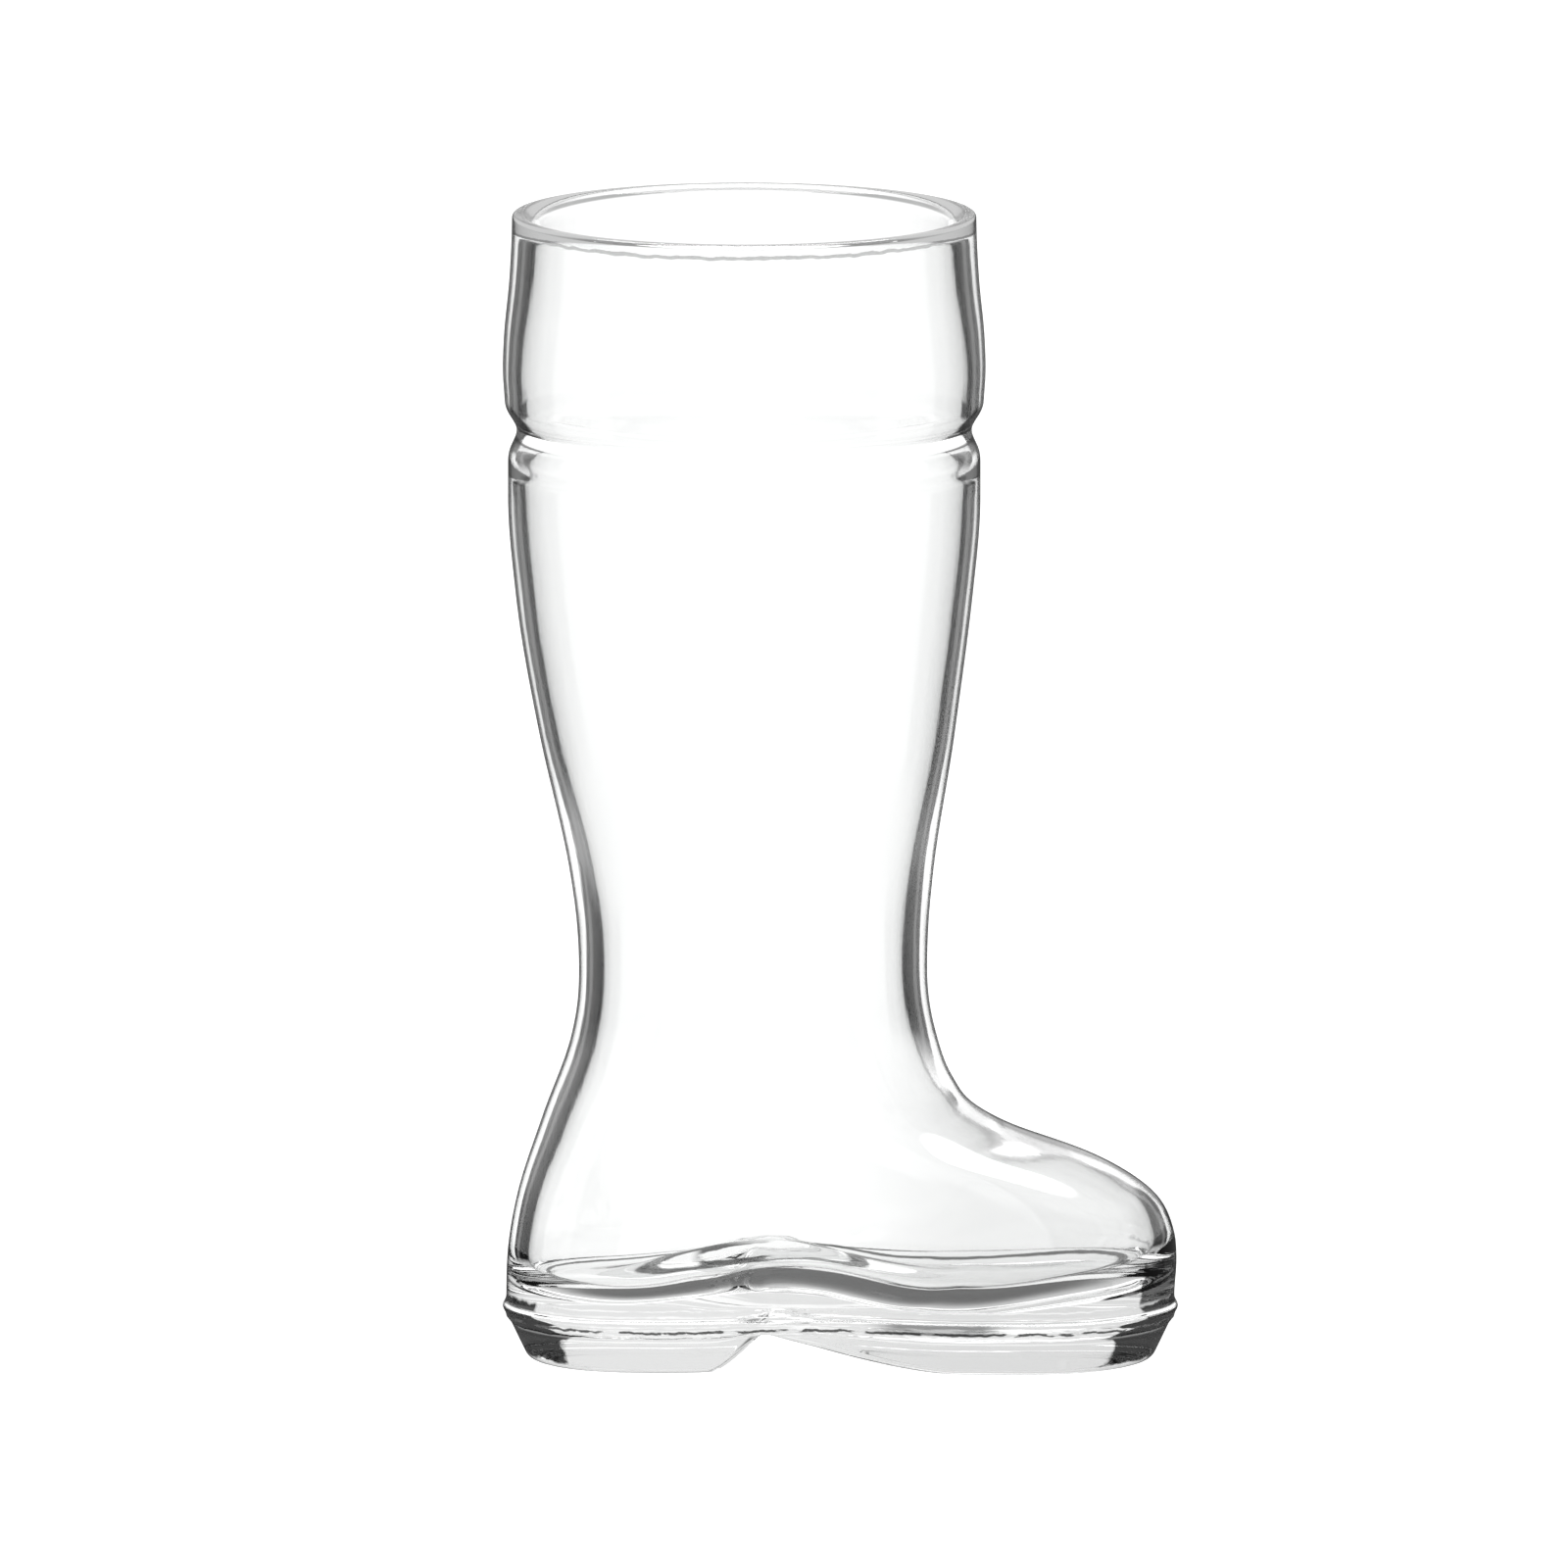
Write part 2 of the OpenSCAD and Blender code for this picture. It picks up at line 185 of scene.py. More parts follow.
outer_r = eased(outer_line, spread=0.8)
inner_r = eased(inner_line, spread=0.8)
print("radius at the lip", round(float(outer_r(boot_h)), 2),
      "mm, at the groove", round(float(outer_r(groove_z)), 2), "mm")

# %% [markdown]
# ## From a round leg to a foot
# Below the calf the section is no longer a circle about one axis. The clean way to draw that is to keep
# the angle round the boot as one parameter and the level as the other: at each level there is a back end,
# a front end and a half width, and the angle goes round between them. The foot's plan has a heel, a
# pinched waist and a ball. The shares below say where they are, from -1 at the heel's end to 1 at the
# toe's.

# %% Back, front and half width at each level
heel_share, waist_share, ball_share = -0.5, -0.12, 0.4


def below_ankle(z):
    """How far below the ankle's narrowest place a level is: 0 there, 1 at the welt."""
    return (ankle_h - z) / (ankle_h - welt_z)


def drift(z):
    """How far the section has moved forward, over the ankle."""
    return ankle_shift * smooth((loft_z - z) / (loft_z - ankle_h))


def back_line(z):
    """Back end of the section: the leg's radius over the ankle, the heel counter under it."""
    heel = mix(ankle_shift - ankle_d / 2, -heel_body, curve(back_shares, below_ankle(z)))
    return np.where(z >= ankle_h, drift(z) - leg_line(z), heel)


def front_line(z):
    """Front end of the section: the leg's radius over the ankle, instep and toe under it."""
    toe = mix(ankle_shift + ankle_d / 2, toe_body, curve(front_shares, below_ankle(z)))
    return np.where(z >= ankle_h, drift(z) + leg_line(z), toe)


back_x = eased(back_line, spread=1.2)
front_x = eased(front_line, spread=1.0)
leg_r = eased(leg_line, spread=1.2)


def full_half(width, share):
    """The half width that leaves the asked width once the angle's sine rounds the ends off."""
    return width / 2 / math.sqrt(1 - share * share)


sole_half = [(-1, math.sqrt(heel_end_r * foot_half)), (heel_share, full_half(heel_w, heel_share)),
             (waist_share, full_half(waist_w, waist_share)), (ball_share, full_half(ball_w, ball_share)),
             (1, math.sqrt(toe_end_r * foot_half))]
upper_half = [sole_half[0], sole_half[1], sole_half[3], sole_half[4]]


def half_width(share, z):
    """Half width of the foot: pinched at the welt's waist, filled out higher, and round at the ankle."""
    filled = smooth((z - welt_z) / (footbed_h - welt_z))
    foot = mix(curve(sole_half, share), curve(upper_half, share), filled)
    under = mix(foot, ankle_d / 2, smooth((z - welt_z * 2) / (ankle_h - welt_z * 2)))
    return np.where(z >= ankle_h, leg_r(z), under)


print("foot:", round(float(front_x(welt_z) - back_x(welt_z)), 1), "mm long inside the welt")

# %% [markdown]
# ## Two skins
# The outer skin is a function of the angle and the level. The lining, the skin inside, is the same
# function moved in square to itself by the wall's thickness. In the mould the foot is blown out last, so
# the wall is thick at the ankle, where the glass has hardly moved, and thinnest on top of the vamp, where
# the bubble grew most.

# %% The outer skin and the lining as functions of angle and level
vamp_wall, vamp_h, vamp_reach, vamp_round = 2.3, 51.0, 15.0, 1.3
turn, rise = 0.01, 0.2


def skin(a, z):
    """Outer skin: middle + half length * cos(a) along the foot, half width * sin(a) across it."""
    a, z = np.broadcast_arrays(a, z)
    b, f = back_x(z), front_x(z)
    share = np.cos(a)
    along = leg_x + (b + f) / 2 + (f - b) / 2 * share
    return np.stack([along, half_width(share, z) * np.sin(a), z], axis=-1)


def wall_thickness(z):
    """Thickness of the wall at a level, measured square to it."""
    foot = mix(foot_wall, ankle_wall, smooth((z - welt_z) / (ankle_h - welt_z)))
    return np.where(z >= ankle_h, leg_thickness(z), foot)


wall_t = eased(wall_thickness, spread=3.0)


def wall_at(a, z):
    """Thickness at an angle and a level: the level's own, less a bell about the top of the vamp."""
    a, z = np.broadcast_arrays(a, z)
    return mix(wall_t(z), vamp_wall, smooth(np.cos(a) * vamp_round) * hump_of(z - vamp_h, vamp_reach))


def lining(a, z):
    """Inner skin: the outer one moved in at its own level by thickness / (flat part of the normal)."""
    n = np.cross(skin(a + turn, z) - skin(a - turn, z), skin(a, z + rise) - skin(a, z - rise))
    n /= np.linalg.norm(n, axis=-1, keepdims=True)
    flat = n * [1, 1, 0]
    inward = wall_at(a, z)[..., None] / (flat * flat).sum(-1, keepdims=True)
    return skin(a, z) - flat * inward


print("wall on the vamp", round(float(wall_at(0.0, vamp_h)), 2), "mm, at the ankle",
      round(float(wall_at(0.0, ankle_h)), 2), "mm")

# %% [markdown]
# ## The sole
# Under the welt, the raised line where the two halves of the mould's foot meet, the glass is a thick
# block. Its side leans in, and from below an arch is pressed out of it: a slanting face ends the heel,
# and a long ramp runs forward to the tread. The side's rings therefore end at the arch's level, which
# changes along the foot.

# %% Side of the sole, the welt and the arch
welt_peak_z, welt_spread, welt_shave = 11.3, 1.15, 0.03
heel_power, ramp_power = 1.4, 1.6
arch_skin = 0.35


def sole_point(a, inset, z):
    """The outline at the welt, moved in square to itself by the inset."""
    p = skin(a, np.full_like(a, welt_z))
    t = skin(a + turn, np.full_like(a, welt_z)) - skin(a - turn, np.full_like(a, welt_z))
    n = np.stack([t[..., 1], -t[..., 0]], -1) / np.linalg.norm(t[..., :2], axis=-1, keepdims=True)
    return np.concatenate([p[..., :2] - n * inset[..., None], z[..., None]], -1)


def ridge(z):
    """How far the welt stands out: a bell about its middle level, shaved to stay inside the CAD's welt."""
    return (welt_out - welt_shave) * hump_of(z - welt_peak_z, welt_spread)


def arch_line(x):
    """Level of the sole's underside along the foot: flat heel, slanting face, top, long ramp, flat tread."""
    q = x - leg_x
    heel = np.clip((q - (arch_reach - heel_face)) / heel_face, 0, 1) ** heel_power
    tread = np.clip(1 - (q - arch_reach - arch_top) / tread_ramp, 0, 1) ** ramp_power
    forward = np.where(q > arch_reach + arch_top, tread, 1)
    return (sole_h - arch_skin) * np.where(q < arch_reach, heel, forward)


arch_z = eased(arch_line, spread=0.5, low=-120.0, high=120.0, reach=30)
print("arch: highest at", round(float(arch_z(leg_x + arch_reach + arch_top / 2)), 2), "mm")

# %% [markdown]
# ## The floor inside
# Inside, the foot ends in a thick floor with a hump over the arch, where the mould presses the glass up
# from below. Nothing touches this skin while it is hot, so it has no edge anywhere: it sinks from the
# wall into a round trough, and swells over the arch like a bell. In plan the bowl is the lining's own
# outline, drawn together towards its middle. In height it is a superellipse, whose power says how tight
# the corner between wall and floor is: loose along the sides, tighter at the heel and the toe. It is
# worth the care, because the floor is a strong lens, and all that is seen in the sole is the pale table
# through this skin.

# %% The bowl
rise_shares = [(-0.95, 0), (-0.63, 0.36), (-0.45, 0.72), (-0.28, 0.95), (-0.17, 1)]
fall_shares = [(-0.17, 1), (-0.1, 0.85), (0.04, 0.45), (0.27, 0.22), (0.6, 0)]
trough_levels = [(-0.75, 11.2), (-0.2, 15.0), (0.3, 10.4), (0.75, 11.4)]
hump_rise, hump_half = 12.0, 10.0
side_power, heel_end_power, toe_end_power = 2.2, 5.0, 3.4


def floor_z(x, y):
    """Level of the floor: a trough along both sides, and over the arch a hump, a bell across the foot."""
    at = (x - foot_middle) / foot_half
    hump = np.where(at < fall_shares[0][0], curve(rise_shares, at), curve(fall_shares, at))
    return curve(trough_levels, at) + hump_rise * hump * hump_of(y, hump_half)


bowl_middle = leg_x + float(back_x(footbed_h) + front_x(footbed_h)) / 2


def corner(a, tilt):
    """Reach and depth on a superellipse: reach^p + depth^p = 1, with a larger p for a tighter corner."""
    end_power = np.where(np.cos(a) < 0, heel_end_power, toe_end_power)
    p = mix(side_power, end_power, np.cos(a) ** 4)
    return np.cos(tilt) ** (2 / p), np.sin(tilt) ** (2 / p)


def bowl(a, keep, sunk):
    """A ring of the bowl: 'keep' is what is left of its reach from the middle, 'sunk' how deep it lies."""
    guess = lining(a, np.full_like(a, footbed_h))
    base = floor_z(mix(bowl_middle, guess[..., 0], keep), guess[..., 1] * keep)
    p = lining(a, np.maximum(mix(footbed_h, base, sunk), welt_z))
    x = mix(bowl_middle, p[..., 0], keep)
    y = p[..., 1] * keep
    return np.stack([x, y, mix(footbed_h, floor_z(x, y), sunk)], -1)


print("floor: middle of the bowl at x =", round(bowl_middle, 1), "mm, level",
      round(float(floor_z(np.float64(bowl_middle), 0.0)), 1), "mm")

# %% [markdown]
# ## One closed mesh
# The mesh is a stack of rings. It starts at the middle of the lip, goes down the outside to the table,
# and from the lip again down the inside to the middle of the floor. The underside is a sheet of straight
# rows across the foot, so that the sharp line of the arch runs along a row and not in steps. Rings are
# close together where the wall bends. The angles crowd a little towards the heel and the toe, where the
# plan is tightest.

# %% Angles and levels
ring_points, crowding = 216, 0.175
even_turns = np.arange(ring_points) * 2 * math.pi / ring_points
angles = even_turns + crowding * np.sin(2 * even_turns)


def even_levels(high, low, step, line, samples=4000):
    """Levels from high to low, without the first, spaced evenly along a line's own length."""
    z = np.linspace(high, low, samples)
    length = np.concatenate([[0], np.cumsum(np.hypot(np.diff(line(z)), np.diff(z)))])
    return np.interp(np.linspace(0, length[-1], int(length[-1] / step) + 2), length, z)[1:]


def turned(radius, z):
    """Rings about the leg's axis."""
    return np.stack([leg_x + radius[:, None] * np.cos(angles), radius[:, None] * np.sin(angles),
                     np.broadcast_to(z[:, None], (len(z), ring_points))], -1)


def all_round(levels):
    """A grid of the angles, one row for each level."""
    return np.broadcast_to(angles, (len(levels), ring_points))


print(ring_points, "points in a ring")

# %% Levels of the rings
outside_steps = {"cuff": 1.7, "groove": 0.6, "leg": 2.6, "foot": 1.3}
inside_steps = {"cuff": 1.7, "groove": 0.7, "leg": 2.8, "foot": 1.4}
bend_z, level_z = ankle_h + 10, welt_z + 2


def leg_levels(top, line, steps):
    """Levels of the turned rings: close together in the groove, wide apart down the shaft."""
    return np.concatenate([even_levels(top, cuff_z, steps["cuff"], line),
                           even_levels(cuff_z, shaft_top_z, steps["groove"], line),
                           even_levels(shaft_top_z, loft_z, steps["leg"], line)])


def foot_levels(bottom, steps):
    """Levels of the rings under the turned part, closer together where the instep bends."""
    return np.concatenate([even_levels(loft_z, bend_z, steps["leg"], front_x),
                           even_levels(bend_z, bottom, steps["foot"], front_x)])


print("steps of the rings in mm:", outside_steps, inside_steps)

# %% Rings of the outside, down to the sole
lip_outside_rings, welt_ring_count = 8, 15
quarter = np.linspace(math.pi / 2, 0, lip_outside_rings)
outer_top, inner_top = float(outer_r(boot_h)), float(inner_r(boot_h))
lip_outside = turned(outer_top - lip_outer_r * (1 - np.cos(quarter)),
                     boot_h - lip_outer_r * (1 - np.sin(quarter)))
upper_z = leg_levels(boot_h - lip_outer_r, outer_r, outside_steps)
upper = turned(outer_r(upper_z), upper_z)
lower_z = foot_levels(level_z, outside_steps)
lower = skin(angles[None, :], lower_z[:, None])
welt_levels = np.linspace(level_z, sole_h, welt_ring_count + 1)[1:]
welt_grid = np.broadcast_to(welt_levels[:, None], (len(welt_levels), ring_points))
welt_angles = all_round(welt_levels)
bare = sole_point(welt_angles, 0 * welt_grid, welt_grid)
raised = sole_point(welt_angles, -ridge(welt_grid), welt_grid)
welt_rings = skin(welt_angles, np.maximum(welt_grid, welt_z)) + (raised - bare)
welt_rings[..., 2] = welt_grid
print("outside:", len(lip_outside) + len(upper) + len(lower) + len(welt_rings), "rings over the sole")

# %% Rings of the sole's side and its rounded edge
edge_share, side_ring_count = 0.42, 6


def side_inset(z):
    """How far the sole's side has leaned in at a level."""
    return sole_step + sole_taper * (1 - z / sole_h)


end_z = arch_z(skin(angles, np.full(ring_points, welt_z))[:, 0])
edge_r = np.minimum(sole_edge_r, edge_share * (sole_h - end_z))
steps = np.linspace(0, 1, side_ring_count + 1)[1:, None]
side_z = mix(sole_h, end_z + edge_r, steps)
side_rings = sole_point(all_round(side_z), side_inset(side_z), side_z)
corner_inset = side_inset(end_z)
edge_inset = ((1 - steps) ** 2 * side_inset(end_z + edge_r) + 2 * steps * (1 - steps) * corner_inset
              + steps ** 2 * (corner_inset + edge_r))
edge_z = end_z + (1 - steps) ** 2 * edge_r
edge_rings = sole_point(all_round(edge_z), edge_inset, edge_z)
edge_rings[-1, :, 2] = arch_z(edge_rings[-1, :, 0])
print("sole:", len(side_rings) + len(edge_rings), "rings")

# %% Rings of the inside
lip_inside_rings, wall_reach, wall_rings, floor_rings = 14, 0.88, 15, 26
lip_quarter = np.linspace(math.pi / 2, math.pi, lip_inside_rings)
lip_inside = turned(inner_top + lip_inner_r * (1 + np.cos(lip_quarter)),
                    boot_h - lip_inner_deep * (1 - np.sin(lip_quarter)))
inner_z = leg_levels(boot_h - lip_inner_deep, inner_r, inside_steps)
inner_upper = turned(inner_r(inner_z), inner_z)
lining_z = foot_levels(footbed_h, inside_steps)
inner_lower = lining(angles[None, :], lining_z[:, None])
wall_tilt = np.arcsin(np.linspace(0, wall_reach, wall_rings + 1)[1:] ** (side_power / 2))
floor_keep = np.linspace(np.cos(wall_tilt[-1]) ** (2 / side_power), 0, floor_rings + 2)[1:-1]
tilts = np.concatenate([wall_tilt, np.arccos(floor_keep ** (side_power / 2))])[:, None]
bowl_rings = bowl(all_round(tilts), *corner(all_round(tilts), tilts))
floor_point = np.array([[bowl_middle, 0, floor_z(np.float64(bowl_middle), 0.0)]])
print("inside:", len(lip_inside) + len(inner_upper) + len(inner_lower) + len(bowl_rings), "rings")

# %% Put the rings together
inside_up = np.concatenate([lip_inside, inner_upper, inner_lower, bowl_rings])[::-1]
outside_down = np.concatenate([lip_outside, upper, lower, welt_rings, side_rings, edge_rings])
rings = np.concatenate([inside_up, outside_down])
points = rings.reshape(-1, 3)
around = np.arange(ring_points)
following = (around + 1) % ring_points
first = np.arange(len(rings) - 1)[:, None] * ring_points
second = first + ring_points
quads = np.stack([first + around, second + around, second + following, first + following], -1).reshape(-1, 4)
print("rings:", len(rings), "with", len(quads), "four-sided faces")

# %% The underside, in rows across the foot
across = 28
half = ring_points // 2
last = (len(rings) - 1) * ring_points
near, far = np.arange(half + 1), (-np.arange(half + 1)) % ring_points
share = np.linspace(0, 1, across + 1)[1:-1, None]
rows = mix(rings[-1, near][1:-1, None], rings[-1, far][1:-1, None], share)
rows[..., 2] = arch_z(rows[..., 0])
sheet = np.empty((half + 1, across + 1), int)
sheet[:, 0], sheet[:, -1] = last + near, last + far
sheet[1:-1, 1:-1] = len(points) + 1 + np.arange((half - 1) * (across - 1)).reshape(half - 1, -1)
sheet[0, :], sheet[-1, :] = last, last + half
one, two, three, four = sheet[:-1, :-1], sheet[:-1, 1:], sheet[1:, 1:], sheet[1:, :-1]
under = np.concatenate([np.stack([one, two, three], -1).reshape(-1, 3),
                        np.stack([one, three, four], -1).reshape(-1, 3)])
distinct = (under[:, 0] != under[:, 1]) & (under[:, 1] != under[:, 2]) & (under[:, 0] != under[:, 2])
under = under[distinct]
fan = np.stack([np.full(ring_points, len(points)), around, following], -1)
all_points = np.concatenate([points, floor_point, rows.reshape(-1, 3)]) * MM
print("underside:", len(under), "triangles; floor's middle:", len(fan))

# %% Make the mesh
mesh = bpy.data.meshes.new("boot_glass")
mesh.from_pydata(all_points.tolist(), [], quads.tolist() + under.tolist() + fan.tolist())
mesh.validate()
mesh.shade_smooth()
boot = bpy.data.objects.new("boot_glass", mesh)
bpy.context.scene.collection.objects.link(boot)
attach(boot, "root")
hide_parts("lip", "cuff", "groove", "shaft", "calf", "ankle", "vamp", "footbed", "welt", "heel", "tread")


def six_volumes(faces):
    """Six times the volume under some faces: the sum of a . (b x c) over their triangles."""
    return sum(np.einsum("ij,ij->i", all_points[faces[:, 0]],
                         np.cross(all_points[faces[:, k]], all_points[faces[:, k + 1]])).sum()
               for k in range(1, faces.shape[1] - 1))


glass_cm3 = sum(six_volumes(faces) for faces in (quads, under, fan)) / 6 * 1e6
print("points", len(all_points), "triangles", len(quads) * 2 + len(under) + len(fan), "glass",
      round(glass_cm3, 1), "cm3")

# %% [markdown]
# ## Helpers for node trees
# A glass and a studio both need sums worked out for each ray. A few small helpers keep that readable:
# figure adds a Math node, arrow a Vector Math node, soft_step a smooth step, and product multiplies masks.
# They all work in the tree that is being built, which 'nodes' and 'links' name.

# %% Helpers for sums in a node tree
def fill(sockets, values):
    """Link each input to a socket, or set it to a number."""
    for socket, value in zip(sockets, values):
        if isinstance(value, bpy.types.NodeSocket):
            links.new(value, socket)
        else:
            socket.default_value = value


def figure(operation, *values):
    """A Math node on sockets or numbers; MULTIPLY_ADD is first * second + third."""
    node = nodes.new("ShaderNodeMath")
    node.operation = operation
    fill(node.inputs, values)
    return node.outputs[0]


def arrow(operation, *values):
    """A Vector Math node on sockets or triples of numbers."""
    node = nodes.new("ShaderNodeVectorMath")
    node.operation = operation
    fill(node.inputs, values)
    return node.outputs["Value"] if operation == "LENGTH" else node.outputs["Vector"]


def soft_step(value, low, high, start=0.0, stop=1.0):
    """A smooth step: 'start' below low, 'stop' above high, and an S between them."""
    node = nodes.new("ShaderNodeMapRange")
    node.interpolation_type = "SMOOTHSTEP"
    fill([node.inputs[name] for name in ("Value", "From Min", "From Max", "To Min", "To Max")],
         [value, low, high, start, stop])
    return node.outputs["Result"]


def product(*masks):
    """The product of some masks."""
    result = masks[0]
    for mask in masks[1:]:
        result = figure("MULTIPLY", result, mask)
    return result


print("helpers: figure, arrow, soft_step and product")

# %% [markdown]
# ## Clear glass
# Clear soda glass has no colour of its own in a wall this thin, so the shader is a plain Principled one:
# smooth, fully transmissive, and with the index of refraction of glass, 1.5. What the eye sees is where
# the two skins bend the light away from the bright room. Close to the outline a ray is caught between
# them, and the real wall has a dark band there, darkest at its very edge. Layer Weight says how far a
# skin turns away from the ray that meets it, and a ramp on it paints a shade into the glass's colour at
# each grazing hit, so this painted dark band shows from every side.

# %% The glass
glass_index = 1.5
edge_stops = [(0.0, 0.995), (0.4, 0.985), (0.62, 0.94), (0.75, 0.87), (0.81, 0.6), (0.845, 0.04)]


def clear_gray(value):
    """A gray with the faint green of soda glass."""
    return value * 0.995, value, value * 0.998, 1


glass = bpy.data.materials.new("clear_glass")
glass.use_nodes = True
nodes, links = glass.node_tree.nodes, glass.node_tree.links
bsdf = nodes["Principled BSDF"]
bsdf.inputs["Roughness"].default_value = 0.0
bsdf.inputs["IOR"].default_value = glass_index
bsdf.inputs["Transmission Weight"].default_value = 1.0
layer = nodes.new("ShaderNodeLayerWeight")
layer.inputs["Blend"].default_value = 0.5
facing = layer.outputs["Facing"]
# The ramp is painted shade: the colour darkens as the skin turns away from the ray.
edge = nodes.new("ShaderNodeValToRGB")
for spot, value in edge_stops:
    edge.color_ramp.elements.new(spot).color = clear_gray(value)
edge.color_ramp.elements.remove(edge.color_ramp.elements[-1])
edge.color_ramp.elements.remove(edge.color_ramp.elements[0])
links.new(facing, edge.inputs["Fac"])
print("glass: from", edge_stops[0][1], "at the middle to", edge_stops[-1][1], "at the edge")

# %% [markdown]
# ## Masks of painted shade
# Pressed glass is not the same all over. Clear glass turns dark where it bends the light away, at the ends
# of the sole, in lines of the floor, along the mould's joint and in the groove, and here that dark is
# painted shade, laid into the colour. The thick floor is made a little darker, and the toe gets a painted
# shade. Each of them is a mask, a number from 0 to 1 worked out from the place on the glass and from the
# way its skin faces, in Object coordinates, so it stays on the glass from every side. A little noise makes
# the borders of the masks as ragged as flowing glass leaves them.

# %% Place, tilt, side and grain
where = nodes.new("ShaderNodeTexCoord")
place = nodes.new("ShaderNodeSeparateXYZ")
links.new(where.outputs["Object"], place.inputs[0])
height, length = place.outputs["Z"], place.outputs["X"]
normal = nodes.new("ShaderNodeSeparateXYZ")
links.new(where.outputs["Normal"], normal.inputs[0])
tilt = normal.outputs["Z"]
from_inside = nodes.new("ShaderNodeNewGeometry").outputs["Backfacing"]
from_outside = figure("SUBTRACT", 1.0, from_inside)


def noise(vector, scale, detail):
    """Noise from 0 to 1 along a vector."""
    node = nodes.new("ShaderNodeTexNoise")
    fill([node.inputs[name] for name in ("Vector", "Scale", "Detail")], [vector, scale, detail])
    return node.outputs["Fac"]


def streaks(scale, detail):
    """Noise in Object coordinates, its scale set along each axis."""
    return noise(arrow("MULTIPLY", where.outputs["Object"], scale), 1.0, detail)


grain_scale, grain_detail = 260.0, 3.0
grain = noise(where.outputs["Object"], grain_scale, grain_detail)
print("grain: a blotch about every", round(1000 / grain_scale, 1), "mm")


# %% Masks from a range of a value
def over(value, low, high, rough=0.0):
    """A mask that is 0 below low and 1 above high, its border made ragged by the grain."""
    if rough:
        value = figure("MULTIPLY_ADD", grain, rough, value)
    return soft_step(value, low + rough * 0.5, high + rough * 0.5)


def below(value, low, high, rough=0.0):
    """The other way round: 1 below low and 0 above high."""
    if rough:
        value = figure("MULTIPLY_ADD", grain, rough, value)
    return soft_step(value, low + rough * 0.5, high + rough * 0.5, 1.0, 0.0)


def window(value, low, high, soft, rough=0.0):
    """A mask that is 1 between two values and falls to 0 outside them."""
    return product(over(value, low - soft, low, rough), below(value, high, high + soft, rough))


turned_away = over(facing, 0.36, 0.39, 0.10)
side_only = window(tilt, -0.5, 0.3, 0.15)
thick_floor = below(height, 0.0240, 0.0275)
# Painted shade: the toe and the vamp, below 58 to 88 mm, are made grayer.
toe_shade = product(over(length, -0.008, 0.032), below(height, 0.058, 0.088))
print("nodes so far:", len(nodes))

# %% [markdown]
# ## The solid foot
# The sole is a block, and a block of glass turns dark where its side leans: the light that reaches the
# heel's back and the toe's front runs on inside and leaves somewhere else. The path of that light depends
# on ripples too small to measure, so the two dark ends are painted shade, laid into the colour by masks.
# So are the dark line round the floor, where its corner bends steepest, the crescents on the flanks of the
# hump, the broken line along the mould's joint, the gray band in front of the arch, and the soft line along
# the heel's slanting face. All levels are in metres.

# %% Painted shade at the dark ends of the sole
sole_side = window(height, 0.0018, 0.0140, 0.0008, 0.003)
# Painted shade, near black, on the leaning side of the sole at both ends.
sole_end_shade = product(sole_side, turned_away, side_only)
toe_tip = over(length, 0.0590, 0.0605, 0.004)
under_toe_top = below(height, 0.0225, 0.0240, 0.003)
over_welt = over(height, 0.0140, 0.0150, 0.001)
# Painted shade on the front of the toe over the welt.
toe_end_shade = product(toe_tip, under_toe_top, over_welt, turned_away, side_only)
print("dark ends: the sole's side and the toe over it")

# %% Painted shade lines of the floor
corner_tilt = window(tilt, 0.86, 0.90, 0.02, 0.03)
# Painted shade: a dark line round the floor where its corner bends steepest.
floor_shade_line = product(corner_tilt, thick_floor, from_outside)
flank_tilt = window(tilt, 0.79, 0.86, 0.02, 0.07)
round_hump = window(length, -0.0295, -0.0165, 0.003)
# Painted shade: two dark crescents on the flanks of the hump.
crescents = product(flank_tilt, round_hump, thick_floor, from_outside)
print("floor: its line and the hump's crescents")

# %% Painted shade lines of the mould's joint, the arch, the heel and the groove
joint = window(height, 0.0094, 0.0098, 0.0002, 0.0016)
dashes = over(streaks((150, 150, 400), 4.0), 0.40, 0.46)
# Painted shade: a broken dark line along the mould's joint.
seam_shade_line = product(joint, from_outside, side_only, dashes)
band_height = window(height, 0.0096, 0.0123, 0.0007)
before_arch = window(length, 0.013, 0.030, 0.009)
# Painted shade: a gray band on the side in front of the arch.
second_shade_band = product(band_height, before_arch, side_only, from_outside)
heel_lean = 0.96
slant = figure("MULTIPLY_ADD", height, -heel_lean, length)
along_slant = window(slant, -0.0272, -0.0263, 0.0008)
slant_height = window(height, 0.0034, 0.0078, 0.0012)
# Painted shade: a soft dark line along the heel's slanting face.
heel_edge_shade = product(along_slant, slant_height, side_only, from_outside)
in_groove = window(height, 0.1995, 0.2085, 0.0015)
# Painted shade: a dark line in the groove where the skin faces the ray.
notch_shade_line = product(in_groove, over(facing, 0.71, 0.76))
print("nodes so far:", len(nodes))

# %% [markdown]
# ## The lip
# The flame that rounds the lip leaves it as clear as water. One thin line of painted shade marks the inside
# where the round part starts. Across the middle of the mouth the eye looks straight through it, so there the
# painted shade of the edge is taken back.

# %% Clear lip and the painted shade line under it
leg_axis = leg_x * MM
aside = figure("ABSOLUTE", figure("SUBTRACT", length, leg_axis))
lip_middle = below(aside, 0.0420, 0.0480)
# Over the middle of the mouth the clear lip takes the edge's painted shade back.
clear_lip = product(over(height, 0.2455, 0.2462), lip_middle)
off_axis = arrow("SUBTRACT", where.outputs["Object"], (leg_axis, 0.0, 0.0))
radius = arrow("LENGTH", arrow("MULTIPLY", off_axis, (1.0, 1.0, 0.0)))
line_height = window(height, 0.24640, 0.24700, 0.0002, 0.0012)
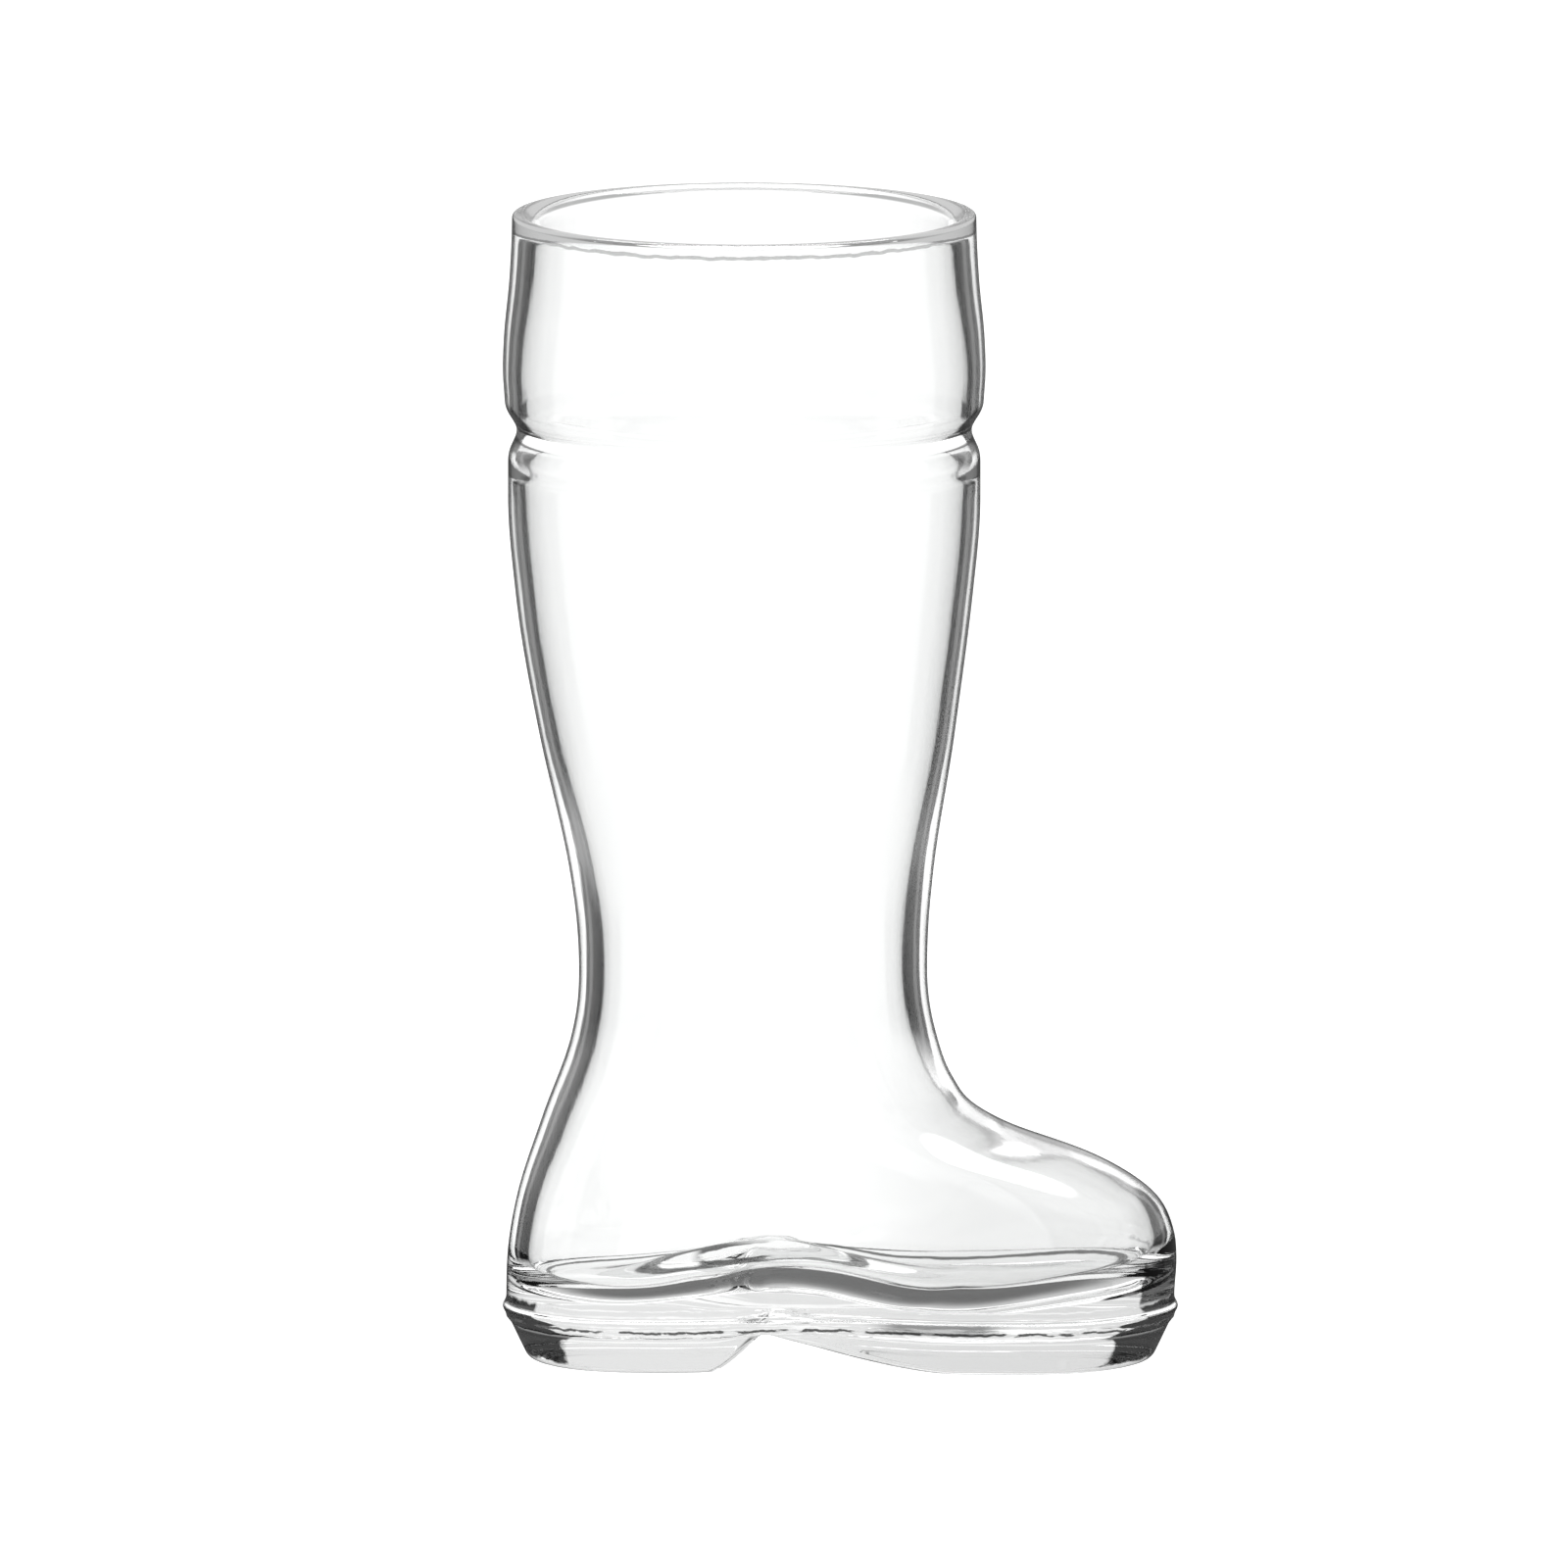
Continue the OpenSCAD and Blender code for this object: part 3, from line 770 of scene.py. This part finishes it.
# Painted shade: a thin line inside the lip where its round part starts.
lip_shade_line = product(line_height, from_inside, below(radius, 0.0470, 0.0475))
print("lip: clear over the middle, a line inside; nodes so far:", len(nodes))

# %% [markdown]
# ## Laying the painted shades
# Each painted shade is laid over the colour by its mask, as a thin wash is, and the clear lip takes the
# edge's painted shade back. The thick floor, made a little darker, the painted shade of the toe and the
# painted gray band in front of the arch multiply the colour instead, so the marks stay visible through them.

# %% Lay the painted shades over the colour
laid_over = [(1.0, clear_lip), (0.3, lip_shade_line), (0.004, sole_end_shade), (0.02, toe_end_shade), (0.03, floor_shade_line),
             (0.02, seam_shade_line), (0.04, heel_edge_shade), (0.012, crescents), (0.01, notch_shade_line)]
multiplied_shades = [(0.955, thick_floor), (0.915, toe_shade), (0.16, second_shade_band)]


def wash(colour, blend_type, shade, mask):
    """The colour with a mask's share of a shade mixed into it."""
    node = nodes.new("ShaderNodeMix")
    node.data_type, node.blend_type = "RGBA", blend_type
    fill([node.inputs[name] for name in ("Factor", "A", "B")], [mask, colour, shade])
    return node.outputs["Result"]


colour = edge.outputs["Color"]
for value, mask in laid_over:
    colour = wash(colour, "MIX", clear_gray(value), mask)
for value, mask in multiplied_shades:
    colour = wash(colour, "MULTIPLY", (value, value, value, 1), mask)
links.new(colour, bsdf.inputs["Base Color"])
print("shades laid over the glass:", len(laid_over), "and thick parts:", len(multiplied_shades))

# %% [markdown]
# ## Light caught in the wall
# A ray caught between the skins bounces tens of times before it finds a way out, and the renderer gives
# it up as black long before that. The real wall gives back a soft light between its dark streaks. So,
# from the fourth bounce on, the skin gives that light itself, as an emission that nothing but a caught
# ray can see. A ramp over the height says how much of it gets out: a lot along the leg, little in the
# foot's block and round the groove.

# %% The light of caught rays
caught_levels = [(0.13, 0.0), (0.15, 0.95), (0.73, 0.95), (0.755, 0.12),
                 (0.83, 0.12), (0.85, 0.3), (0.97, 0.3)]
caught_at_lip = 0.26
rays = nodes.new("ShaderNodeLightPath")
caught = product(over(rays.outputs["Glossy Depth"], 3.4, 3.6), from_inside, over(facing, 0.26, 0.28))
heights = nodes.new("ShaderNodeValToRGB")
for share, value in caught_levels:
    heights.color_ramp.elements.new(share).color = (value, value, value, 1)
heights.color_ramp.elements[-1].color = (caught_at_lip, caught_at_lip, caught_at_lip, 1)
links.new(figure("MULTIPLY", height, 1 / (boot_h * MM)), heights.inputs["Fac"])
lip_light = product(over(height, 0.2420, 0.2440), lip_middle)
glow = product(caught, figure("MAXIMUM", lip_light, heights.outputs["Color"]))
links.new(glow, bsdf.inputs["Emission Color"])
bsdf.inputs["Emission Strength"].default_value = 1.0
print("caught light: levels at", len(caught_levels) + 2, "heights")

# %% [markdown]
# ## Ripples
# Glass shrinks off its mould in fine upright lines, and its seam stays a little rough. Both are far too
# fine for the mesh. A bump of a few thousandths of a millimetre turns the light by less than a degree,
# which is enough to comb the dark band into streaks and not enough to be seen as relief. On the seam it is
# up to a tenth of a millimetre, enough to break its line.

# %% Fine upright lines and the rough seam
drawn_height, bump_height = 0.036, 0.0002
near_welt = product(window(height, 0.0086, 0.0140, 0.0006, 0.001), side_only)
rough_seam = product(streaks((70, 70, 620), 3.0), near_welt)
bump = nodes.new("ShaderNodeBump")
bump.inputs["Strength"].default_value = 1.0
bump.inputs["Distance"].default_value = bump_height
drawn = figure("MULTIPLY_ADD", streaks((420, 420, 9), 2.0), drawn_height, rough_seam)
links.new(drawn, bump.inputs["Height"])
links.new(bump.outputs["Normal"], bsdf.inputs["Normal"])
mesh.materials.append(glass)
print("material:", glass.name, "with", len(nodes), "nodes")

# %% [markdown]
# ## Studio
# A photographer sets clear glass in front of an even bright field and puts dark cards out of sight at its
# sides, so that each edge takes up a dark line. The same is done here with the world's light. Light Path
# says what a ray has been through: one that comes straight from the camera sees plain white, one that
# went through both walls of the hollow leg sees almost white, one that left through the solid foot looks
# down at a grayer field, one mirrored off the outside sees the darker front of the room, and one that ran
# along inside the wall sees soft upright bars of light between dark cards. All of it depends on the ray's
# own direction, never on where the camera stands.

# %% A world, and the directions in it
world = bpy.data.worlds.new("studio")
bpy.context.scene.world = world
world.use_nodes = True
nodes, links = world.node_tree.nodes, world.node_tree.links
nodes.clear()
split = nodes.new("ShaderNodeSeparateXYZ")
links.new(nodes.new("ShaderNodeTexCoord").outputs["Generated"], split.inputs[0])
upward = split.outputs["Z"]
downward = figure("MULTIPLY", upward, -1.0)
azimuth = figure("ARCTAN2", split.outputs["Y"], split.outputs["X"])
quarter_wave = figure("COSINE", figure("MULTIPLY", azimuth, 4.0))
sideways = figure("MULTIPLY_ADD", quarter_wave, -0.5, 0.5)
ahead = figure("ABSOLUTE", figure("SINE", azimuth))
print("world: upright bars every 90 degrees")


# %% Kinds of rays
def rest_of(share):
    """What is left of a share: 1 - share."""
    return figure("SUBTRACT", 1.0, share)


def mixed(one, other, share):
    """The mix of two strengths: one + (other - one) * share."""
    return figure("MULTIPLY_ADD", figure("SUBTRACT", other, one), share, one)


path = nodes.new("ShaderNodeLightPath")
bounced = figure("MINIMUM", path.outputs["Glossy Depth"], 1.0)
entered = figure("MINIMUM", path.outputs["Transmission Depth"], 1.0)
hollow = soft_step(path.outputs["Transmission Depth"], 2.4, 2.6)
few = rest_of(soft_step(path.outputs["Glossy Depth"], 2.4, 2.6))
mirrored = product(bounced, rest_of(entered))
near_piped = product(bounced, entered, rest_of(hollow))
far_piped = product(bounced, entered, hollow)
through = product(rest_of(bounced), hollow)
solid = product(rest_of(bounced), rest_of(hollow))
print("kinds of rays: mirrored, near_piped, far_piped, through, solid, and the camera's own")

# %% What each kind sees
front_over, front_under = 0.9, 0.12
field_under, field_over, field_deep = 1.36, 1.08, 0.55
seen_through, seen_far_piped, seen_by_camera = 1.43, 1.15, 1.5
seen_mirrored = mixed(front_over, front_under, rest_of(soft_step(upward, -0.05, 0.08)))
deep = product(soft_step(downward, 0.40, 0.46), rest_of(soft_step(downward, 0.54, 0.60)))
field = mixed(field_under, field_over, soft_step(upward, -0.06, 0.0))
seen_solid = mixed(field, field_deep, deep)
print("straight through the hollow:", seen_through, "and seen by the camera:", seen_by_camera)

# %% The bars beside the glass
bar_light, bar_ahead, thread_light, overhead = 1.0, 2.1, 0.2, 1.0
table_near, table_below, piped_often = 0.8, 0.2, 1.4
bar_edge = rest_of(soft_step(sideways, 0.3, 0.45))
bright = mixed(bar_light, bar_ahead, soft_step(ahead, 0.5, 0.8))
thread = product(soft_step(sideways, 0.6, 0.68), rest_of(soft_step(sideways, 0.76, 0.86)))
bars = figure("MULTIPLY_ADD", bar_edge, bright, figure("MULTIPLY", thread, thread_light))
bars = mixed(bars, overhead, soft_step(upward, 0.12, 0.35))
table = mixed(table_near, table_below, soft_step(downward, 0.55, 0.97))
seen_piped = mixed(bars, table, soft_step(downward, 0.3, 0.45))
seen_piped = mixed(piped_often, seen_piped, few)
print("bars:", bar_light, "to", bar_ahead, "with a thread of", thread_light, "between")

# %% The light of all of them
strip_light = 9.0
level = figure("MULTIPLY", through, seen_through)
for kind, seen in [(solid, seen_solid), (near_piped, seen_piped), (mirrored, seen_mirrored),
                   (far_piped, seen_far_piped)]:
    level = figure("MULTIPLY_ADD", kind, seen, level)
level = mixed(level, seen_by_camera, path.outputs["Is Camera Ray"])
strip = product(soft_step(upward, 0.75, 0.79), mirrored)
level = figure("MULTIPLY_ADD", strip, strip_light, level)
background = nodes.new("ShaderNodeBackground")
links.new(level, background.inputs["Strength"])
output = nodes.new("ShaderNodeOutputWorld")
links.new(background.outputs[0], output.inputs["Surface"])
print("world:", len(nodes), "nodes")

# %% [markdown]
# ## Floor
# The glass stands on a plain pale table with a faint gloss. The table gives its own even light, as a lit
# white sheet does, because the soft shadow of clear glass in such a studio is too faint to see. The faint
# gloss is about one part in eight of it, and a little rough, as a laminate is.

# %% Floor
reach, sunk_by = 3.0, 0.0001
sheet_light, gloss_share, gloss_roughness = 1.4, 0.12, 0.08
floor_mesh = bpy.data.meshes.new("floor")
floor_corners = [(-reach, -reach, 0), (reach, -reach, 0), (reach, reach, 0), (-reach, reach, 0)]
floor_mesh.from_pydata(floor_corners, [], [(0, 1, 2, 3)])
floor = bpy.data.objects.new("floor", floor_mesh)
bpy.context.scene.collection.objects.link(floor)
pale = bpy.data.materials.new("pale_floor")
pale.use_nodes = True
nodes, links = pale.node_tree.nodes, pale.node_tree.links
nodes.clear()
emission = nodes.new("ShaderNodeEmission")
emission.inputs["Strength"].default_value = sheet_light
gloss = nodes.new("ShaderNodeBsdfGlossy")
gloss.inputs["Roughness"].default_value = gloss_roughness
blend = nodes.new("ShaderNodeMixShader")
fill(blend.inputs, [gloss_share, emission.outputs[0], gloss.outputs[0]])
out = nodes.new("ShaderNodeOutputMaterial")
links.new(blend.outputs[0], out.inputs["Surface"])
floor_mesh.materials.append(pale)
floor.visible_transmission = False
floor.visible_glossy = False
floor.location.z = -sunk_by
print("floor:", reach * 2, "m wide")

# %% [markdown]
# ## Camera
# A very long lens from far away keeps the upright lines upright and the near and far side of the lip the
# same size. The camera stands 8.5 degrees over the glass, which is what the ellipse of the lip asks for.

# %% Camera
distance, elevation = 12.0, math.radians(8.5)
sensor_mm, lens_mm, clip_m = 36, 1273, 100
target = np.array([-0.0122, 0.0, 0.1254])
camera_data = bpy.data.cameras.new("camera")
camera_data.sensor_width = sensor_mm
camera_data.lens = lens_mm
camera_data.clip_end = clip_m
camera = bpy.data.objects.new("camera", camera_data)
bpy.context.scene.collection.objects.link(camera)
camera.location = target + distance * np.array([0, -math.cos(elevation), math.sin(elevation)])
camera.rotation_euler = (math.pi / 2 - elevation, 0, 0)
bpy.context.scene.camera = camera
bpy.context.scene.view_settings.view_transform = "Standard"
print("camera at", [round(c, 3) for c in camera.location])
